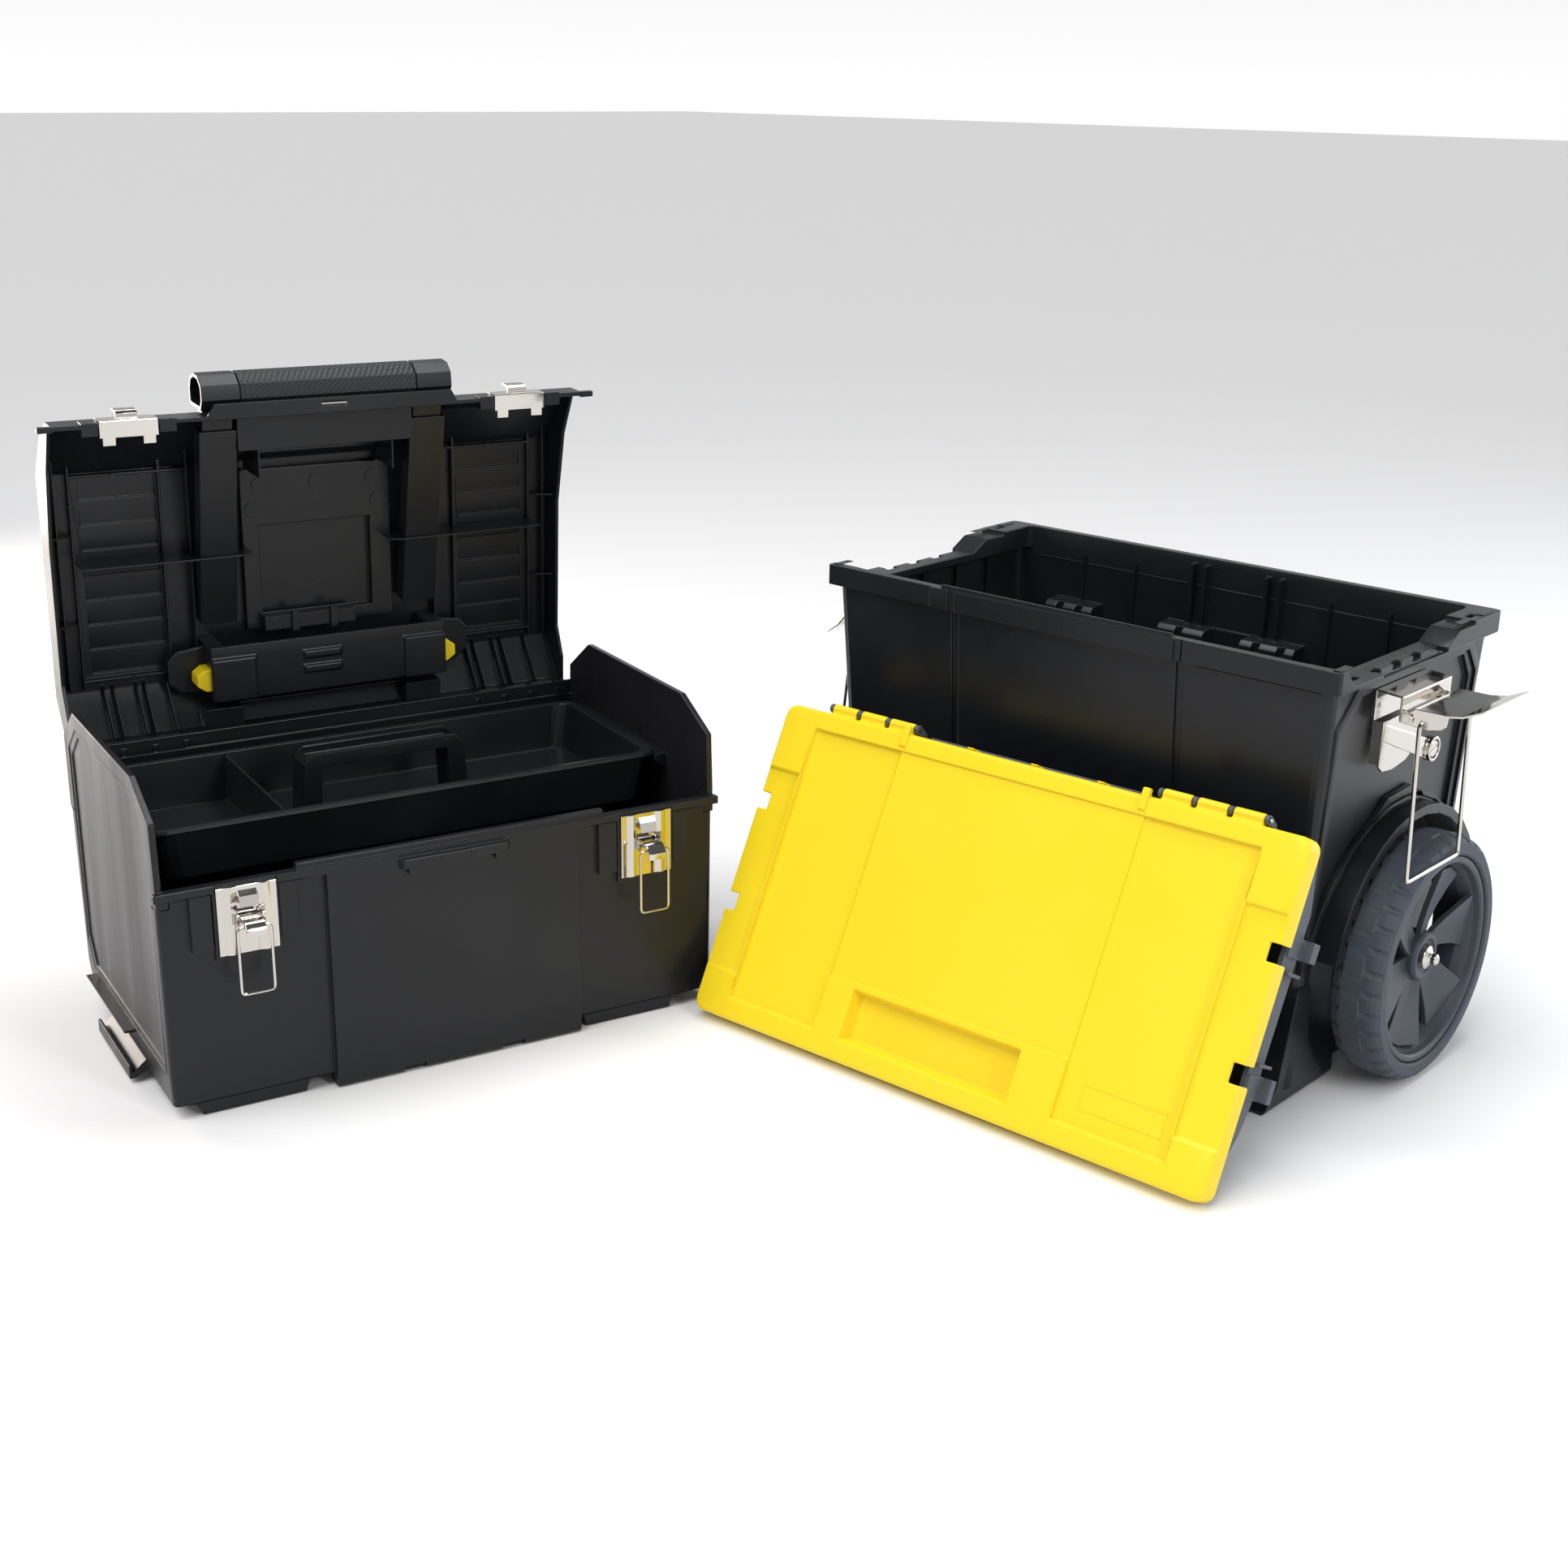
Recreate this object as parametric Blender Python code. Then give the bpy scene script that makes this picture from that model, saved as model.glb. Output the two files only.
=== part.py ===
"""Rolling three-piece tool box: a wheeled bin, an organiser leaning on it and a tool box with an open lid.

Each unit is modelled in its own millimetre frame (X along its length, -Y its front, +Z up) and placed by an
empty. The tool box lid is modelled closed and turned open about its hinge by a second empty.
"""
import math

import bmesh
import bpy
from mathutils import Matrix, Vector

for old in list(bpy.data.objects):
    bpy.data.objects.remove(old, do_unlink=True)

MM = 0.001
OFFSET = (0.17369, 0.29057)         # moves the whole set so its bounding box is centred on the origin
BIN_AT = (0.0, 0.0)
BOX_AT, BOX_YAW = (-0.428, -0.454), 1.2768
ORG_AT, ORG_YAW, ORG_LEAN = (0.017, -0.3035), 0.032, 1.1077
ORG_Z = 0.0090

WHEEL_Y, WHEEL_R, AXLE_R = 17.0, 100.0, 5.0
LATCH_Y = -22.5                     # centre of the bin's end latches
HINGE_Y, HINGE_Z = 134.5, 214.0     # tool box lid hinge
SLANT = math.radians(10.5)          # the telescopic handle runs at this angle to the lid
LID_OPEN = math.radians(87.5)       # the lid stands open at this angle
LEVER_FOLD, BAIL_LEAN = math.radians(-60), math.radians(64.3)
ORG_HINGE_V, ORG_HINGE_T = 272.8, -9.5
GAP = 0.3


def material(name, color, rough, metal=0.0):
    mat = bpy.data.materials.new(name)
    mat.use_nodes = True
    bsdf = mat.node_tree.nodes["Principled BSDF"]
    bsdf.inputs["Base Color"].default_value = (*color, 1.0)
    bsdf.inputs["Roughness"].default_value = rough
    bsdf.inputs["Metallic"].default_value = metal
    return mat


BLACK = material("black_plastic", (0.018, 0.019, 0.022), 0.38)
SLATE = material("dark_plastic", (0.045, 0.05, 0.06), 0.45)
YELLOW = material("yellow_plastic", (1.0, 0.80, 0.02), 0.32)
CHROME = material("chrome", (0.82, 0.8, 0.76), 0.12, 1.0)
STEEL = material("steel", (0.6, 0.6, 0.6), 0.3, 1.0)
WHEEL = material("wheel_plastic", (0.06, 0.07, 0.085), 0.45)
TYRE = material("tyre_rubber", (0.05, 0.058, 0.07), 0.6)


def mesh_object(name, verts, faces):
    me = bpy.data.meshes.new(name)
    me.from_pydata([Vector(v) * MM for v in verts], [], faces)
    bm = bmesh.new()
    bm.from_mesh(me)
    bmesh.ops.recalc_face_normals(bm, faces=bm.faces)
    bm.to_mesh(me)
    bm.free()
    ob = bpy.data.objects.new(name, me)
    bpy.context.collection.objects.link(ob)
    return ob


def loft(rings, closed=False):
    """Skin rings that all have the same number of points; capped at both ends unless closed."""
    n = len(rings[0])
    verts = [p for ring in rings for p in ring]
    faces = []
    last = len(rings) if closed else len(rings) - 1
    for i in range(last):
        a, b = i * n, ((i + 1) % len(rings)) * n
        for j in range(n):
            k = (j + 1) % n
            faces.append((a + j, a + k, b + k, b + j))
    if not closed:
        faces.append(tuple(range(n)))
        faces.append(tuple((len(rings) - 1) * n + j for j in range(n)))
    return mesh_object("tmp", verts, faces)


def put(axis, w, u, v):
    return {"x": (w, u, v), "y": (u, w, v), "z": (u, v, w)}[axis]


def prism(axis, pts, a, b):
    """Extrude a 2-D outline along an axis from a to b; pts are the other two coordinates in X, Y, Z order."""
    return loft([[put(axis, w, u, v) for u, v in pts] for w in (a, b)])


def box(lo, hi):
    pts = [(lo[0], lo[1]), (hi[0], lo[1]), (hi[0], hi[1]), (lo[0], hi[1])]
    return prism("z", pts, lo[2], hi[2])


def circle(cu, cv, r, n=24, a0=0.0):
    return [(cu + r * math.cos(a0 + 2 * math.pi * i / n), cv + r * math.sin(a0 + 2 * math.pi * i / n))
            for i in range(n)]


def cyl(axis, cu, cv, r, a, b, n=24):
    return prism(axis, circle(cu, cv, r, n), a, b)


def lathe_x(profile, cy, cz, n=48):
    """Turn a closed (x, r) profile about the X axis through (cy, cz)."""
    rings = []
    for i in range(n):
        c, s = math.cos(2 * math.pi * i / n), math.sin(2 * math.pi * i / n)
        rings.append([(x, cy + r * c, cz + r * s) for x, r in profile])
    return loft(rings, closed=True)


def ring_z(z, x, y0, y1, r):
    """A rectangle from -x to x and y0 to y1 with corners rounded by three segments."""
    pts = []
    for cx, cy, a in ((x - r, y1 - r, 0), (r - x, y1 - r, 90), (r - x, y0 + r, 180), (x - r, y0 + r, 270)):
        for k in range(4):
            t = math.radians(a + 30 * k)
            pts.append((cx + r * math.cos(t), cy + r * math.sin(t), z))
    return pts


def tub(levels, r):
    return loft([ring_z(z, x, y0, y1, r) for z, x, y0, y1 in levels])


def wire(points, r, closed=False, n=8):
    """A round bar along a polyline with mitred corners."""
    pts = [Vector(p) for p in points]
    rings = []
    m = len(pts)
    ref = None
    for i, p in enumerate(pts):
        prev = pts[i - 1] if closed or i else None
        nxt = pts[(i + 1) % m] if closed or i < m - 1 else None
        d0 = (p - prev).normalized() if prev is not None else (nxt - p).normalized()
        d1 = (nxt - p).normalized() if nxt is not None else d0
        t = (d0 + d1).normalized()
        if ref is None:
            ref = t.orthogonal().normalized()
        side = (ref - d0 * ref.dot(d0)).normalized()
        up = d0.cross(side)
        ring = []
        for k in range(n):
            a = 2 * math.pi * k / n
            o = side * math.cos(a) * r + up * math.sin(a) * r
            o = o - d0 * (o.dot(t) / d0.dot(t))
            ring.append(tuple(p + o))
        rings.append(ring)
        flat = (side - d1 * side.dot(d1))
        ref = flat.normalized() if flat.length > 1e-6 else up
    return loft(rings, closed=closed)


def rounded(points, r, steps=3):
    """Round each inner corner of a polyline, or every corner of a loop given as (points, True)."""
    closed = isinstance(points, tuple)
    pts = [Vector(p) for p in (points[0] if closed else points)]
    out = []
    for i, p in enumerate(pts):
        if not closed and i in (0, len(pts) - 1):
            out.append(p)
            continue
        a = (pts[i - 1] - p).normalized()
        b = (pts[(i + 1) % len(pts)] - p).normalized()
        for k in range(steps + 1):
            t = k / steps
            out.append(p + a * r * (1 - t) ** 2 + b * r * t ** 2)
    return out


def boolean(target, other, how):
    mod = target.modifiers.new("b", "BOOLEAN")
    mod.operation, mod.object, mod.solver = how, other, "EXACT"
    deps = bpy.context.evaluated_depsgraph_get()
    me = bpy.data.meshes.new_from_object(target.evaluated_get(deps))
    target.modifiers.clear()
    target.data = me
    bpy.data.objects.remove(other, do_unlink=True)


def cut(target, *others):
    for other in others:
        boolean(target, other, "DIFFERENCE")
    return target


def join(target, *others):
    for other in others:
        boolean(target, other, "UNION")
    return target


def empty(name, parent=None, matrix=None):
    ob = bpy.data.objects.new(name, None)
    bpy.context.collection.objects.link(ob)
    ob.parent = parent
    if matrix is not None:
        ob.matrix_basis = matrix
    return ob


def finish(ob, name, mat, parent):
    ob.name = name
    ob.data.name = name
    ob.data.materials.clear()
    ob.data.materials.append(mat)
    bm = bmesh.new()
    bm.from_mesh(ob.data)
    bmesh.ops.remove_doubles(bm, verts=bm.verts, dist=1e-6)
    bmesh.ops.dissolve_degenerate(bm, edges=bm.edges, dist=1e-6)
    bm.to_mesh(ob.data)
    bm.free()
    ob.parent = parent
    return ob


# ---------------------------------------------------------------- bin
def front_y(z):
    return -112.0 - (z - 100.0) * 15.0 / 246.0


def side_x(z):
    return 221.0 + (z - 100.0) * 11.0 / 246.0


def bin_shell(frame):
    body = tub([(14, 219, -111, 122), (100, side_x(100), -112, 124), (344, side_x(344), -127, 129)], 9)
    rim = tub([(338, 239, -133.5, 133.5), (355, 239, -133.5, 133.5)], 6)
    for s in (-1, 1):
        hoop = [(WHEEL_Y + r * math.cos(math.radians(a)), WHEEL_R + r * math.sin(math.radians(a)))
                for r, angles in ((120, range(25, 170, 12)), (112, range(169, 24, -12))) for a in angles]
        join(body, prism("x", hoop, s * 213, s * 244))
        foot = loft([[(s * x, y, z) for x, y in ((xi, yf), (xo, yf), (xo, -24), (xi, -24))]
                     for z, xi, xo, yf in ((0, 128, 213, -133), (3, 126, 215, -133), (20, 124, 216.5, -120),
                                           (96, 120, 225, -119), (101, 120, 222, -110))])
        join(body, foot)
    join(body, rim)
    # wheel wells
    for s in (-1, 1):
        cut(body, prism("x", circle(WHEEL_Y, WHEEL_R, 112, 40), s * 213, s * 236))
    # inside
    low = [(-200, -106), (200, -106), (206, -100), (206, 111), (200, 117), (-200, 117), (-206, 111), (-206, -100)]
    cut(body, loft([[(x * (1 + (z - 19) * 7e-5), y + (-9 if y < 0 else 3) * (z - 19) / 217, z) for x, y in low]
                    for z in (19, 236)]))
    cut(body, tub([(235, 220.5, -115, 121), (335, 224, -121, 124)], 7))
    cut(body, tub([(330, 214, -121, 124), (360, 214, -122.5, 125.5)], 7))
    for s in (-1, 1):
        # the side rims dip and hold five slots each
        cut(body, prism("x", [(-128, 361), (-108, 342), (40, 342), (58, 352), (84, 352.01), (84, 361)],
                        s * 205, s * 245))
        for y in (-92, -60, -28, 4, 96):
            z1 = 360 if y > 60 else 345
            cut(body, box((min(s * 226, s * 231), y - 6, 337), (max(s * 226, s * 231), y + 6, z1)))
        # the outer rim is notched for the latch bracket, and the side panel is set in
        cut(body, box((min(s * 231, s * 246), -64, 330), (max(s * 231, s * 246), 40, 350)))
        panel = [(-99, 131), (-101, 300), (-78, 326), (88, 326), (104, 305), (104, 190)]
        panel += [(WHEEL_Y + 122.5 * math.cos(math.radians(a)), WHEEL_R + 122.5 * math.sin(math.radians(a)))
                  for a in range(50, 167, 12)]
        rings = [[(s * (side_x(z) - 3.6), y, z) for y, z in panel], [(s * 262, y, z) for y, z in panel]]
        cut(body, loft(rings))
    # panel grooves and the stepped front rim
    for x in (-106, 106):
        groove = [(front_y(104) + 2.2, 104), (front_y(337) + 2.2, 337), (-140, 337), (-140, 104)]
        cut(body, prism("x", groove, x - 3, x + 3))
        cut(body, box((x - 3, -140, 336), (x + 3, -131.2, 356)))
    cut(body, box((-245, -140, 330), (-128, -131.5, 360)), box((109, -140, 330), (245, -131.5, 360)))
    join(body, box((-118, -131, 354), (100, -128, 358)))
    # hump over the axle with its slot, ribs and boss blocks on the rear wall
    join(body, box((-207.5, 6, 16), (207.5, 28, 112)))
    cut(body, box((-203, 10, 5), (203, 24, 106)))
    cut(body, cyl("x", WHEEL_Y, WHEEL_R, AXLE_R + GAP, -240, 240, 32))
    for x in (-30, 43):
        for dx in (-6.5, 6.5):
            join(body, box((x + dx - 2, 118, 284), (x + dx + 2, 126, 349)))
    for x0, x1 in ((-58, 76), (-178, -128), (140, 196)):
        join(body, prism("x", [(126, 268), (104, 268), (101, 272), (103, 291), (107, 295), (126, 296)], x0, x1))
    cut(body, box((-12, 96, 276), (24, 120.5, 300)))
    return finish(body, "bin_shell", BLACK, frame)


def wheel_set(frame, s, side):
    spin = empty("wheel_%s_axis" % side, frame, Matrix.Translation((s * 0.25, WHEEL_Y * MM, WHEEL_R * MM)))
    rim = lathe_x([(s * 232, 71), (s * 232, 84.2), (s * 270, 84.2), (s * 270, 78), (s * 256, 72)],
                  WHEEL_Y, WHEEL_R, 48)
    hub = lathe_x([(s * 224, AXLE_R + 0.05), (s * 224, 16), (s * 228, 20), (s * 258.5, 20), (s * 261.8, 17),
                   (s * 261.8, 11), (s * 258.5, 9), (s * 258.5, AXLE_R + 0.05)], WHEEL_Y, WHEEL_R, 32)
    join(rim, hub)
    for k in range(6):
        a = k * math.pi / 3 + 0.25
        pts = []
        for r, w in ((17.5, -0.36), (38, -0.24), (56, -0.26), (73.5, -0.30), (73.5, 0.36), (56, 0.24),
                     (38, 0.20), (17.5, 0.36)):
            t = a + w + (r - 17.5) * 0.0052 * s
            pts.append((WHEEL_Y + r * math.cos(t), WHEEL_R + r * math.sin(t)))
        join(rim, prism("x", pts, s * 240, s * 256))
    tyre = lathe_x([(s * 230, 86), (s * 230, 94), (s * 235, 99), (s * 240, WHEEL_R), (s * 262, WHEEL_R),
                    (s * 267, 99), (s * 272, 94), (s * 272, 86), (s * 270.4, 84.2 + GAP), (s * 231.6, 84.2 + GAP)],
                   WHEEL_Y, WHEEL_R, 48)
    for ob in (rim, tyre):
        ob.data.transform(Matrix.Translation((-s * 0.25, -WHEEL_Y * MM, -WHEEL_R * MM)))
    finish(rim, "wheel_rim_" + side, WHEEL, spin)
    finish(tyre, "tyre_" + side, TYRE, spin)
    cap = lathe_x([(s * 262.4, 0.4), (s * 262.4, 9.5), (s * 263.6, 9.5), (s * 265.5, 6.2), (s * 267, 4.6),
                   (s * 270.5, 4.6), (s * 271.5, 3.2), (s * 271.5, 0.4)], WHEEL_Y, WHEEL_R, 24)
    join(cap, cyl("x", WHEEL_Y, WHEEL_R, 2, s * 262.6, s * 271.3, 12))
    finish(cap, "axle_cap_" + side, CHROME, frame)


def bin_end_latch(frame, s, side, lever_turn, bail_turn):
    axis = Vector((0, -s, 0))
    bracket = prism("y", [(s * x, z) for x, z in ((232.4, 305), (234.2, 305), (234.2, 327.2), (252.8, 325.8),
                                                 (252.8, 310), (254.6, 310), (254.6, 327.4), (232.4, 329.2))],
                    LATCH_Y - 39.5, LATCH_Y + 39.5)
    for y in (LATCH_Y - 38.5, LATCH_Y + 38.5):
        join(bracket, box((min(s * 253, s * 261), y - 1, 308), (max(s * 253, s * 261), y + 1, 316)))
    join(bracket, cyl("y", s * 258.7, 311.5, 1.6, LATCH_Y - 39, LATCH_Y + 39, 12))
    finish(bracket, "bin_latch_bracket_" + side, CHROME, frame)

    guard_pts = [(-52, 302), (-52, 267), (-46, 262), (-30, 260), (-8, 263), (6, 270), (8, 280), (8, 302)]
    guard = prism("x", guard_pts, s * 235, s * 237)
    join(guard, box((min(s * 228.2, s * 236), -52, 268), (max(s * 228.2, s * 236), -49.5, 302)))
    join(guard, prism("x", [(-48, 299), (-48, 286), (28, 255), (38, 268)], s * 236.5, s * 238))
    join(guard, cyl("x", 33, 263, 10, s * 234, s * 241, 20))
    cut(guard, cyl("x", 33, 263, 7.8, s * 238.4, s * 244, 20))
    join(guard, cyl("x", 33, 263, 6.4, s * 237, s * 240.4, 20))
    cut(guard, prism("x", [(25, 260.2), (41, 264.4), (41, 265.8), (25, 261.6)], s * 239.2, s * 243))
    finish(guard, "bin_latch_guard_" + side, CHROME, frame)

    px, pz = s * 258.7, 311.5
    turn = empty("bin_lever_%s_axis" % side, frame, Matrix.Translation((px * MM, LATCH_Y * MM, pz * MM))
                 @ Matrix.Rotation(lever_turn, 4, axis))
    plate = [(261, 316.2), (287, 317.8), (300, 320), (314.6, 327), (315.4, 329), (300, 322), (287, 319.8),
             (263, 319.8)]
    lever = prism("y", [(s * x, z) for x, z in plate], LATCH_Y - 37.4, LATCH_Y + 37.4)
    cheek = [(256.5, 309.5), (256.5, 313.5), (260, 317.3), (264, 319.2), (289, 318.8), (288, 311), (284, 307.5),
             (274, 305.5), (262, 306.5), (257, 308.2)]
    for y in (LATCH_Y - 37.4, LATCH_Y + 35.4):
        join(lever, prism("y", [(s * x, z) for x, z in cheek], y, y + 2))
    join(lever, cyl("y", px, pz, 3.6, LATCH_Y - 36.5, LATCH_Y - 28, 14))
    join(lever, cyl("y", px, pz, 3.6, LATCH_Y + 28, LATCH_Y + 36.5, 14))
    cut(lever, cyl("y", px, pz, 1.75, -80, 60, 12), cyl("y", s * 270.5, 310, 2.0, -80, 60, 12))
    lever.data.transform(Matrix.Translation((-px * MM, -LATCH_Y * MM, -pz * MM)))
    finish(lever, "bin_latch_lever_" + side, CHROME, turn)

    swing = empty("bin_bail_%s_axis" % side, turn, Matrix.Translation((s * 0.0118, 0, -0.0015))
                  @ Matrix.Rotation(bail_turn, 4, axis))
    path = [(s * x, LATCH_Y + y, z) for x, y, z in ((270.5, -33.5, 310), (270.5, -42.5, 310), (274.7, -42.5, 189),
                                                     (274.7, 42.5, 189), (270.5, 42.5, 310), (270.5, 33.5, 310))]
    bail = wire(rounded(path, 4), 1.7)
    bail.data.transform(Matrix.Translation((-s * 0.2705, -LATCH_Y * MM, -0.310)))
    finish(bail, "bin_latch_bail_" + side, CHROME, swing)


def build_bin():
    frame = empty("bin", None, Matrix.Translation((BIN_AT[0] + OFFSET[0], BIN_AT[1] + OFFSET[1], 0)))
    bin_shell(frame)
    axle = cyl("x", WHEEL_Y, WHEEL_R, AXLE_R, -262, 262, 32)
    finish(axle, "wheel_axle", STEEL, frame)
    for s, side in ((-1, "left"), (1, "right")):
        wheel_set(frame, s, side)
        # the left lever is folded down and its bail leans on the tyre
        lever_turn, bail_turn = (LEVER_FOLD, BAIL_LEAN) if s < 0 else (0.0, 0.0)
        bin_end_latch(frame, s, side, lever_turn, bail_turn)


# ---------------------------------------------------------------- organiser (X, up the slope, outwards)
KNUCKLES = [(-198, -173.5), (-168.5, -144), (-139, -115), (115, 139), (144, 168.5), (173.5, 198)]
EARS = [-200, -171, -141.5, -112.5, 112.5, 141.5, 171, 200]


def organiser_lid(frame):
    lid = loft([ring_z(z, x, y0, y1, 9) for z, x, y0, y1 in
                ((-19, 241, 0, 268), (-3, 240.5, 0.5, 267.5), (0, 238, 3, 265))])
    cut(lid, loft([ring_z(z, 237.5, 3.5, 264.5, 6) for z in (-25, -7.5)]))
    join(lid, box((-94, 14, -15), (73, 63, -6)))
    cut(lid, box((-205, 19, -4), (-117, 252, 2)), box((109, 19, -4), (205, 252, 2)),
        box((-117.01, 64, -2), (109.01, 252, 2)))
    cut(lid, loft([[(x0, y0, z), (x1, y0, z), (x1, y1, z), (x0, y1, z)] for z, x0, x1, y0, y1 in
                   ((-12, -86, 65, 21, 57), (1, -91, 70, 17, 60))]))
    for s in (-1, 1):
        lo, hi = sorted((s * 206, s * 246))
        cut(lid, prism("x", [(36, 2), (40, -3), (210, -3), (214, 2)], lo, hi))
        lo, hi = sorted((s * 231, s * 246))
        cut(lid, box((lo, 87, -21), (hi, 102, 2)), box((lo, 176, -21), (hi, 190, 2)))
        join(lid, box((min(s * 103, s * 109) if s > 0 else -118, 256, -3), (109 if s > 0 else -112, 273, 2.5)))
    for a, b in KNUCKLES:
        join(lid, prism("x", circle(ORG_HINGE_V, ORG_HINGE_T, 4, 16), a, b),
             box((a, 266, ORG_HINGE_T - 3), (b, 272.5, ORG_HINGE_T + 3.4)))
        cut(lid, prism("x", circle(ORG_HINGE_V, ORG_HINGE_T, 1.75, 12), a - 1, b + 1))
    lid.data.transform(Matrix.Translation((0, -ORG_HINGE_V * MM, -ORG_HINGE_T * MM)))
    turn = empty("organiser_lid_axis", frame, Matrix.Translation((0, ORG_HINGE_V * MM, ORG_HINGE_T * MM)))
    finish(lid, "organiser_lid", YELLOW, turn)


def organiser_tray(frame):
    wide = [(20, -19.6), (51, -36), (75, -42), (218, -44), (258, -27), (264, -19.6)]
    deep = [(38, -26), (60, -87.5), (228, -87.5), (246, -32), (250, -26)]
    tray = prism("x", wide, -237, 237)
    join(tray, prism("x", deep, -192, 192))
    cut(tray, prism("x", [(26, -10), (26, -20), (53, -33), (76, -39), (217, -41), (255, -25), (259, -10)], -233, 233))
    cut(tray, prism("x", [(42, -26), (63, -84.5), (225, -84.5), (242, -26)], -189, 189))
    for x in (-95, 0, 95):
        join(tray, box((x - 1.2, 50, -85.5), (x + 1.2, 243, -30)))
    join(tray, box((-190, 146, -85.5), (190, 148.4, -30)))
    join(tray, box((-105, 258, -32), (100, 270.5, -19.6)))
    for s in (-1, 1):
        for v0, v1, t in ((184, 199, -53), (79, 97, -50)):
            lo, hi = sorted((s * 235, s * 247))
            join(tray, box((lo, v0, t), (hi, v1, -20)))
            lo, hi = sorted((s * 239.5, s * 250))
            cut(tray, box((lo, v0 - 1, -42), (hi, v1 + 1, -19)))
        for v in (103.5, 171):
            lo, hi = sorted((s * 236, s * 243))
            join(tray, box((lo, v, -44), (hi, v + 2.5, -22)))
    r = 3.9
    for x in EARS:
        pts = [(252, -34), (258, -34), (272.4, -22), (276.2, -12), (ORG_HINGE_V + r, ORG_HINGE_T)]
        pts += [(ORG_HINGE_V + r * math.cos(a), ORG_HINGE_T + r * math.sin(a)) for a in
                (math.pi / 4, math.pi / 2, math.pi * 3 / 4, math.pi)]
        pts += [(268.9, -20.2), (252, -22)]
        join(tray, prism("x", pts, x - 1.7, x + 1.7))
        cut(tray, prism("x", circle(ORG_HINGE_V, ORG_HINGE_T, 1.6 + GAP, 12), x - 3, x + 3))
    finish(tray, "organiser_tray", SLATE, frame)


def build_organiser():
    place = (Matrix.Translation((ORG_AT[0] + OFFSET[0], ORG_AT[1] + OFFSET[1], ORG_Z))
             @ Matrix.Rotation(ORG_YAW, 4, "Z") @ Matrix.Rotation(ORG_LEAN, 4, "X"))
    frame = empty("organiser", None, place)
    organiser_tray(frame)
    organiser_lid(frame)
    for lo, hi, side in ((-203, -110, "left"), (110, 203, "right")):
        pin = prism("x", circle(ORG_HINGE_V, ORG_HINGE_T, 1.6, 12), lo, hi)
        finish(pin, "organiser_pin_" + side, STEEL, frame)


# ---------------------------------------------------------------- tool box
BOX_KNUCKLES = [(-206, -186), (-180, -160), (-154, -134), (134, 154), (160, 180), (186, 206)]
BOX_EARS = [-209, -183, -157, -131, 131, 157, 183, 209]
LATCH_X = 164.0


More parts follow.
